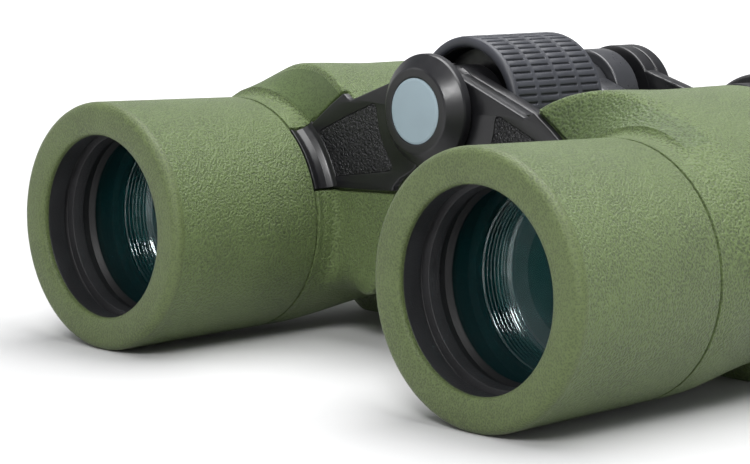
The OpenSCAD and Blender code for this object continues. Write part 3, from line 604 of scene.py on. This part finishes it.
def armor(half, mirror):
    cols = COLUMNS
    a = np.arange(cols) * 360.0 / cols
    u = np.stack([np.cos(np.radians(a)), np.sin(np.radians(a))], 1)
    signed = np.where(a > 180, a - 360, a)
    r0 = reach_circle(u, SEAM_R)
    r1 = reach(u, closed_curve(BODY_OUTLINE, 8))
    level = 0 * r0
    ridge, w, flare = (blurred(by_angle(signed, table)) for table in (RIDGE, WALL, FLARE))
    cor = np.clip(0.35 * (r1 - r0), 0.15, np.interp(signed, [-180, 40, 80, 180], [1.2, 3.2, 1.1, 1.1]))
    paths = front_paths(signed, r0, r1, w, flare, ridge, cor)

    # The seam with the sleeve: a lip, a shallow valley and the foot of the front
    valley = np.interp(signed, [-180, -60, 92, 106, 180], [1, 0, 0, 1, 1])
    seam = [(-0.6, 46.25), (-0.18, 46.4), (0, 46.8), (-0.25, 47.4), (-0.42, 48.2), (-0.28, 48.9),
            (0.02, 49.5)]
    rings = [(r0 + dr * (1 if dr < -0.5 else valley), y + level) for dr, y in seam] + paths
    front_count = len(rings)

    # The body, back to a rounded edge
    last_r, last_y = rings[-1]
    rear = 102.0
    steps = 30
    for k in range(1, steps + 1):
        rings.append((last_r, last_y + (rear - last_y) * k / steps))
    held = [np.interp(53.7, [p[1][i] for p in paths], [p[0][i] for p in paths]) for i in range(cols)]
    inner = np.minimum(reach(u, np.array(CASE_OUTLINE)) + 0.3, held)
    turn_in = np.clip(r1 - inner - 0.3, 0.3, 4)
    for t in np.radians(np.arange(10, 100, 10)):
        rings.append((r1 - turn_in * (1 - math.cos(t)), rear + 5 * math.sin(t) + level))
    outside = len(rings)

    # The inside: round the case, and round the objective tube in front of it
    collar = reach_circle(u, 26.6)
    rings += [(inner, 107 + level), (inner, 54.7 + level), (collar, 54.7 + level), (collar, 46.25 + level)]
    r = np.array([p[0] for p in rings])
    y = np.array([p[1] for p in rings])
    x, z = CORE[0] + r * u[:, 0], CORE[1] + r * u[:, 1]
    row = np.arange(len(rings))[:, None]
    x, y, z = bed_for_bridge(x, y, z, row < front_count)

    # The top falls a little behind the crest, and there is a foot under the back of the housing
    z = np.where(z > 20, z - 0.9 * ease((y - 57) / 26) * ease((z - 20) / 12), z)
    low = ease((20 - abs(x - 55)) / 10) * ease(np.minimum(y - 86.5, 104.5 - y) / 5)
    body = (row >= front_count) & (row < outside)
    z = np.where((z < 0) & body, z + (-30.4 - z) * low, z)

    m = len(rings)
    verts = np.stack([x, y, z], 2).transpose(1, 0, 2).reshape(-1, 3)
    faces = [[i * m + k, ((i + 1) % cols) * m + k, ((i + 1) % cols) * m + (k + 1) % m, i * m + (k + 1) % m]
             for i in range(cols) for k in range(m)]
    ob = make(half + "_armor_piece", verts, faces, ARMOR, half + "_half", half + "_armor", "armor_rubber", 40,
              mirror)
    # The flat part of the wall above the bridge has its own grain, and a darker colour that is painted shade
    ob.data.materials.append(SHADED_FAR_WALL if mirror else SHADED_WALL_GRAIN)
    for p in ob.data.polygons:
        i, k = divmod(p.index, m)
        p.material_index = int(15 <= k < 31 and w[i] > 0.5 and z[k, i] > 12)


# ---- Front bridge -------------------------------------------------------------------------

def hinge_cut(outline, r):
    """Points inside a circle round the hinge pushed out to it."""
    out = []
    for p in outline:
        q = np.array([p[0], p[1] - HZ])
        n = np.linalg.norm(q)
        out.append(tuple(p[:2]) if n >= r else (q[0] / n * r, HZ + q[1] / n * r))
    return out


def dense(outline, step=0.6):
    out = []
    n = len(outline)
    for i in range(n):
        a = np.array(outline[i][:2], float)
        b = np.array(outline[(i + 1) % n][:2], float)
        k = max(1, int(np.linalg.norm(b - a) / step))
        out += [a + (b - a) * j / k for j in range(k)]
    return np.array(out)


INLAY = ([(37.1, 11.4), (37.9, 12.4), (41, 20.2), (40.7, 21.7), (39.8, 22.6), (31, 26.6), (21.6, 30.4),
          (20.4, 30.4)] + arc(0, HZ, 20, -4, -42, 10) + [(14.3, 16), (14.7, 14.8), (16, 14.3), (36, 11.2)])
ARM = [(3.4, 40.2), (28.2, 31), (24.7, 28.5), (19.2, 23), (17, 18.6), (7, 22.4), (3.4, 24)]
REAR_ARM = [(3.4, 38.2), (26.4, 29.8), (24.7, 28.5)] + ARM[3:]


def pocket_plate(outline, pocket, y0, y1, bevel, depth):
    """A plate with rounded front edges and a pocket in its front face."""
    rings = []
    for k in range(5):
        t = math.pi / 2 * k / 4
        rings.append((inset(outline, bevel * (1 - math.sin(t))), y0 + bevel * (1 - math.cos(t))))
    rings.append((outline, y1))
    lip = [(inset(pocket, -0.22), y0), (inset(pocket, -0.1), y0 + 0.05), (inset(pocket, -0.02), y0 + 0.16),
           (pocket, y0 + depth)]
    verts, faces, n, m = [], [], len(outline), len(pocket)
    for q, y in rings + lip:
        verts.append(np.stack([q[:, 0], np.full(len(q), y), q[:, 1]], 1))
    for k in range(len(rings) - 1):
        faces += [[k * n + i, k * n + (i + 1) % n, (k + 1) * n + (i + 1) % n, (k + 1) * n + i]
                  for i in range(n)]
    faces.append([(len(rings) - 1) * n + i for i in range(n)])
    base = len(rings) * n
    for k in range(len(lip) - 1):
        faces += [[base + k * m + i, base + k * m + (i + 1) % m, base + (k + 1) * m + (i + 1) % m,
                   base + (k + 1) * m + i] for i in range(m)]
    faces.append([base + (len(lip) - 1) * m + i for i in range(m)])
    edge = [Vector((v[0], v[1], 0)) for v in rings[0][0]]
    hole = [Vector((v[0], v[1], 0)) for v in lip[0][0]]
    for tri in tessellate_polygon([edge, hole]):
        faces.append([i if i < n else base + i - n for i in tri])
    return np.vstack(verts), faces


PLATE_EDGE = dense(hinge_cut(rounded(PLATE, 0.8), 10.7), 0.8)
POCKET = dense(rounded(INLAY, 0.6), 0.8)
PLATE_MESH = pocket_plate(PLATE_EDGE, POCKET, 51.6, 53.4, 0.45, 0.5)


def bridge(half, mirror):
    body = half + "_half"
    knuckle = (50.8, 56.8) if mirror else (57, 66)
    front_cut = 10.7 if not mirror else 8
    back_cut = 8 if not mirror else 10.7
    split = 57.05 if not mirror else 56.75
    arm_front = dense(hinge_cut(dense(rounded(ARM, 0.8)), front_cut))
    arm_back = dense(hinge_cut(dense(rounded(ARM, 0.8)), back_cut))
    section = rounded([(27.75, 46.35), (29.2, 46.35, 0.5), (29.1, 47.0, 0.5), (28.65, 48.3, 1.2),
                       (29.35, 50.0, 0.45), (30.3, 51.3, 1.0), (31.6, 51.65), (31.6, 53.4), (27.75, 53.4)],
                      0.3, 5)
    make(half + "_bridge_plate_piece", *PLATE_MESH, BLACK, body, None, "black_plastic", 30, mirror, flat=True)
    parts = [slab(arm_front, 52.9, split, 0.25, 2), slab(arm_back, split, 61.4, 0.6, 3),
             lathe(0, HZ, rounded(tube_section(6.05, 10.3, *knuckle), 0.45), 128),
             sweep(OX, 0, section, SADDLE[0] + 0.15, SADDLE[1] - 0.15, 40)]
    make(half + "_bridge_piece", *join_parts(*parts), BLACK, body, half + "_bridge", "black_plastic", 30,
         mirror)
    make(half + "_bridge_inlay_piece", *slab(inset(POCKET, 0.05), 51.7, 52.1, 0.18, 2), GRAIN, body,
         half + "_bridge_inlay", "grain", 30, mirror)


def rear_lug(half, mirror):
    r, y0, y1 = (10.3, 93.4, 103.6) if not mirror else (12.4, 103.9, 111.9)
    a0, a1 = (95.1, 103.55) if not mirror else (97.9, 106.4)
    if not mirror:
        arms = [slab(dense(rounded(REAR_ARM, 0.8)), a0, a1, 0.6, 3)]
    else:
        inner = dense(hinge_cut(dense(rounded(REAR_ARM, 0.8)), 10.7))
        arms = [slab(inner, a0, 103.95, 0.6, 3), slab(dense(rounded(REAR_ARM, 0.8)), 103.95, a1, 0.5, 3)]
    hub = lathe(0, HZ, rounded(tube_section(6.05, r, y0, y1), 0.7, 4), 128)
    make(half + "_rear_lug_piece", *join_parts(hub, *arms), GRAPHITE, half + "_half", half + "_rear_lug",
         "graphite", 30, mirror)


# ---- Hinge cap, focus wheel and spindle ---------------------------------------------------

def cap():
    body = [(0, 45.35, 0), (7.95, 45.35, 0.05), (8.05, 45.05, 0.08), (8.3, 45, 0.15), (9.9, 45, 0.25),
            (10.35, 45.25, 0.25), (13.3, 48.2, 0.35), (13.5, 48.7, 0.3), (13.5, 50.5, 0.3), (13.1, 50.6, 0.1),
            (9.6, 50.6), (9.6, 46.7), (0, 46.7, 0)]
    make("hinge_cap_piece", *lathe(0, HZ, rounded(body, 0.1, 4), 200), BLACK, "cap", "hinge_cap",
         "black_plastic", 24)
    disc = [(0, 44.84, 0), (7.3, 44.88, 0.3), (7.85, 45.1, 0.2), (7.9, 45.3), (0, 45.3, 0)]
    make("cap_disc_piece", *lathe(0, HZ, rounded(disc, 0.05, 4), 160), LABEL, "cap", "cap_disc", "label", 24)


def wheel():
    core = [(6.05, 68.2, 0), (14.3, 68.2, 0.6), (14.3, 63.1), (15.45, 63.1), (15.45, 92.75), (14, 92.8),
            (14, 74, 0.6), (8.4, 74, 0.6), (8.4, 92.2), (6.05, 92.2, 0)]
    make("wheel_core_piece", *lathe(0, HZ, rounded(core, 0.3, 4), 160), BLACK, "focus_wheel", "wheel_core",
         "black_plastic", 30)
    # The grip is a ring of slots: each of the columns in one pitch has its own depth
    rows = 56
    pitch = 2 * math.pi / rows
    half_w, lip = 0.27 / 17.1, 0.09 / 17.1
    offsets = [-half_w - lip, -half_w, -half_w + lip, half_w - lip, half_w, half_w + lip, 0.055 * 0.6,
               pitch / 2, pitch - 0.055 * 0.6]
    depth_at = [0.0, 0.1, 0.42, 0.42, 0.1, 0.0, -0.05, -0.08, -0.05]
    starts = [63.35 + 7.35 * k for k in range(4)]
    ys = [(15.5, 63.3), (14.75, 63.2), (14.5, 62.95), (14.5, 62.6), (14.68, 62.25), (15.05, 62.0),
          (15.6, 61.9), (16.15, 61.96), (16.6, 62.15), (16.9, 62.45), (17.06, 62.8), (17.1, 63.15)]
    for s in starts:
        ys += [(17.1, s), (17.1, s + 0.1), (17.1, s + 0.2), (17.1, s + 3.1), (17.1, s + 6.0), (17.1, s + 6.1),
               (17.1, s + 6.2)]
    ys += [(17.1, 92.3), (17.0, 92.6), (16.8, 92.72), (15.5, 92.72)]
    groove = []
    for r, y in ys:
        g = 0.0
        for s in starts:
            if s + 0.15 < y < s + 6.05:
                g = 1.0
            elif s + 0.05 < y < s + 6.15:
                g = max(g, 0.25)
        groove.append(g)
    ys, groove = np.array(ys), np.array(groove)
    verts, m = [], len(ys)
    for i in range(rows):
        for off, dep in zip(offsets, depth_at):
            a = i * pitch + off
            r = ys[:, 0] - np.where(dep > 0, dep * groove, 0.0) - (dep if dep < 0 else 0.0) * groove
            verts.append(np.stack([r * math.cos(a), ys[:, 1], HZ + r * math.sin(a)], 1))
    c = rows * len(offsets)
    faces = [[i * m + k, ((i + 1) % c) * m + k, ((i + 1) % c) * m + (k + 1) % m, i * m + (k + 1) % m]
             for i in range(c) for k in range(m)]
    make("wheel_grip_piece", np.vstack(verts), faces, WHEEL, "focus_wheel", "wheel_grip", "wheel_rubber", 38)


def spindle():
    rod = [(0, 72, 0), (4.1, 72), (4.1, 125), (0, 125, 0)]
    make("focus_spindle_piece", *lathe(0, HZ, rounded(rod, 0.4), 64), STEEL, "left_carriage", "focus_spindle",
         "steel")
    end = [(4.15, 123.8, 0), (10.6, 123.8), (11, 124.3), (10.6, 125.4), (8.6, 126.2), (6, 126.5),
           (0, 126.5, 0), (0, 125.1, 0), (4.15, 125.1, 0)]
    make("bridge_end_cap_piece", *lathe(0, HZ, rounded(end, 0.4, 4), 128), GRAPHITE, "left_carriage",
         "bridge_end_cap", "graphite", 40)


# ---- Eyepieces ----------------------------------------------------------------------------

def ribs(count, depth, r_min, y0, y1):
    def shape(a, r, y):
        wave = abs(math.sin(a * count / 2)) ** 0.5
        return np.where((r > r_min) & (y > y0) & (y < y1), r - depth * (1 - wave), r)
    return shape


def eyepiece_arm(half, mirror):
    h0, h1 = (119.6, 123.6) if mirror else (115.2, 119.4)
    length = math.hypot(EX, EZ - HZ) - 3
    lean = math.atan2(EZ - HZ, EX)
    turn = np.array([[math.cos(lean), math.sin(lean)], [-math.sin(lean), math.cos(lean)]])
    flat = dense(rounded([(6.5, -10.5), (length, -12.5), (length, 12.5), (6.5, 10.5)], 1.0), 1.0)
    link = flat @ turn + (0, HZ)
    hub = lathe(0, HZ, rounded(tube_section(4.15, 13, h0, h1), 0.6, 4), 128)
    ring = lathe(EX, EZ, rounded(tube_section(10.05, 14.6, 114.9, 123.3), 0.6, 4), 128)
    plate = slab(link, h0 + 0.05, h1 - 0.05, 0.5, 3)
    make(half + "_eyepiece_arm_piece", *join_parts(hub, ring, plate), BLACK, half + "_carriage",
         half + "_eyepiece_arm", "black_plastic", 30, mirror)


def eyepiece(half, mirror):
    optic = "right_ocular" if mirror else "left_carriage"

    def part(suffix, profile, mat, slot, body, seg=160, shape=None):
        make(half + "_" + suffix + "_piece", *lathe(EX, EZ, profile, seg, shape), mat, body,
             half + "_" + suffix, slot, 32, mirror)

    inner = [(11.1, 146.5, 0.1), (11.1, 141), (9, 139), (8, 137), (8, 104.6), (9, 104.6), (9, 97, 0.1)]
    if mirror:
        outer = [(10, 97), (10, 124.9), (14, 124.9), (14, 131.4), (16.1, 131.4), (16.1, 146.5, 0.4)]
        part("ocular_barrel", rounded(outer + inner, 0.25, 3), BLACK, "black_plastic", optic)
    else:
        outer = [(10, 97), (10, 123.6, 0), (17.6, 123.6, 0.7), (17.6, 130.2, 0.7), (16.4, 131.2),
                 (16.1, 131.4), (16.1, 146.5, 0.4)]
        part("ocular_barrel", rounded(outer + inner, 0.25, 3), BLACK, "black_plastic", optic, 540,
             ribs(54, 0.45, 17.0, 124.7, 129.6))
    part("field_lens", lens_face(99.2, 30, 1, 8.9, 12) + lens_face(102, 40, -1, 8.9, 12)[::-1], EYE_GLASS,
         "lens", optic, 72)
    part("eye_lens", [(0, 141.4), (10.9, 141.4)] + lens_face(143.2, 32, -1, 10.9, 12)[::-1], EYE_GLASS,
         "lens", optic, 96)
    cup = [(16.15, 131.8), (19, 131.8, 0.5), (19.7, 132.6, 0.4)]
    for y in (135.2, 137.6, 140.0):
        cup += [(19.7, y, 0.15), (19.25, y + 0.35, 0.2), (19.25, y + 0.75, 0.2), (19.7, y + 1.1, 0.15)]
    cup += [(19.7, 151.5, 1.4), (18.6, 153.4, 1.0), (16.8, 154, 0.8), (14.2, 154, 0.8), (12.5, 152.9, 0.6),
            (12.5, 150.6, 0.3), (16.15, 150.6)]
    part("eyecup", rounded(cup, 0.2, 4), EYE_RUBBER, "eyecup_rubber", half + "_eyecup", 200)
    if mirror:
        ring = [(14.05, 123.6), (17.6, 123.6, 0.7), (17.6, 130.1, 0.7), (14.05, 130.1)]
        grip = ribs(54, 0.45, 17.0, 124.7, 129.4)
        make("dioptre_ring_piece", *lathe(EX, EZ, rounded(ring, 0.25, 4), 540, grip), BLACK, "dioptre",
             "dioptre_ring", "black_plastic", 32, True)


# ---- Pieces that keep their CAD shape -----------------------------------------------------

def soft_copy(node, mat, body, width):
    """The CAD shape of a flat-sided piece with its edges rounded."""
    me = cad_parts[node].data.copy()
    me.materials.clear()
    me.materials.append(mat)
    bm = bmesh.new()
    bm.from_mesh(me)
    bmesh.ops.remove_doubles(bm, verts=bm.verts, dist=1e-6)
    bmesh.ops.dissolve_limit(bm, angle_limit=math.radians(1), verts=bm.verts, edges=bm.edges)
    for f in bm.faces:
        f.material_index = 0
    sharp = [e for e in bm.edges if len(e.link_faces) == 2 and e.calc_face_angle(0) > math.radians(30)]
    bmesh.ops.bevel(bm, geom=sharp, offset=width * 0.001, offset_type="OFFSET", segments=3, profile=0.5,
                    affect="EDGES", clamp_overlap=True)
    bm.to_mesh(me)
    bm.free()
    me.polygons.foreach_set("use_smooth", [True] * len(me.polygons))
    me.set_sharp_from_angle(angle=math.radians(35))
    ob = bpy.data.objects.new(node + "_piece", me)
    bpy.context.scene.collection.objects.link(ob)
    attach(ob, body)
    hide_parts(node)


def carried_over():
    looks = {"objective_tube": ANODISED, "prism_housing": CASE, "front_prism": PRISM, "rear_prism": PRISM,
             "prism_shelf": CASE, "prism_clips": CLIP, "rear_cover": BLACK, "cover_screws": CLIP}
    for half, mirror in HALVES:
        for suffix, mat in looks.items():
            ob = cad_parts[half + "_" + suffix]
            ob.data.materials.clear()
            ob.data.materials.append(mat)
        soft_copy(half + "_strap_lug", BLACK, half + "_half", 0.7)
    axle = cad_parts["hinge_axle"]
    axle.data.materials.clear()
    axle.data.materials.append(STEEL)


for half, mirror in HALVES:
    objective(half, mirror)
    armor(half, mirror)
    bridge(half, mirror)
    rear_lug(half, mirror)
    eyepiece_arm(half, mirror)
    eyepiece(half, mirror)
cap()
wheel()
spindle()
carried_over()


# ---- Stage --------------------------------------------------------------------------------

def stage():
    mat, tree, bsdf, obj = nodes_of("pale_floor")
    grain = noise(tree, obj, 30, 2.0, 0.5)
    tree.links.new(ramp(tree, grain, [(0.3, (0.55, 0.55, 0.55, 1)), (0.7, (0.57, 0.57, 0.57, 1))]),
                   bsdf.inputs["Base Color"])
    bsdf.inputs["Roughness"].default_value = 0.9
    bsdf.inputs["Specular IOR Level"].default_value = 0.2
    # Far from the object the floor glows as a white sweep would; under the object it only takes the light
    away = tree.nodes.new("ShaderNodeVectorMath")
    away.operation = "LENGTH"
    tree.links.new(obj, away.inputs[0])
    glow = spread(tree, away.outputs["Value"], 0.16, 1.2, 0.0, 1.05)
    tree.links.new(glow, bsdf.inputs["Emission Strength"])
    bsdf.inputs["Emission Color"].default_value = (1, 1, 1, 1)
    me = bpy.data.meshes.new("floor")
    s = 6.0
    me.from_pydata([(-s, -s, 0), (s, -s, 0), (s, s, 0), (-s, s, 0)], [], [(0, 1, 2, 3)])
    me.materials.append(mat)
    floor = bpy.data.objects.new("floor", me)
    bpy.context.scene.collection.objects.link(floor)

    world = bpy.data.worlds.new("studio")
    bpy.context.scene.world = world
    bpy.context.scene.view_settings.view_transform = "Standard"
    world.use_nodes = True
    tree = world.node_tree
    coord = tree.nodes.new("ShaderNodeTexCoord")
    parts = tree.nodes.new("ShaderNodeSeparateXYZ")
    tree.links.new(coord.outputs["Generated"], parts.inputs[0])
    tree.links.new(ramp(tree, parts.outputs["Z"], [(0.0, (0.6, 0.6, 0.6, 1)), (0.15, (0.6, 0.6, 0.6, 1)),
                                                  (0.45, (0.24, 0.25, 0.27, 1)), (1.0, (0.2, 0.2, 0.22, 1))]),
                   tree.nodes["Background"].inputs["Color"])
    tree.nodes["Background"].inputs["Strength"].default_value = 1.0

    def softbox(name, place, target, width, height, power):
        data = bpy.data.lights.new(name, "AREA")
        data.shape = "RECTANGLE"
        data.size, data.size_y = width, height
        data.energy = power
        ob = bpy.data.objects.new(name, data)
        ob.location = place
        ob.rotation_euler = (Vector(target) - Vector(place)).to_track_quat("-Z", "Y").to_euler()
        bpy.context.scene.collection.objects.link(ob)

    softbox("top_box", (0.05, 0.15, 0.85), (0, 0, 0.03), 1.1, 0.6, 14)
    softbox("left_box", (-0.8, -0.6, 0.6), (0, 0, 0.03), 0.5, 0.7, 1.5)
    softbox("front_box", (0.62, -0.85, 0.78), (0.03, -0.05, 0.03), 0.35, 0.35, 10.5)


stage()
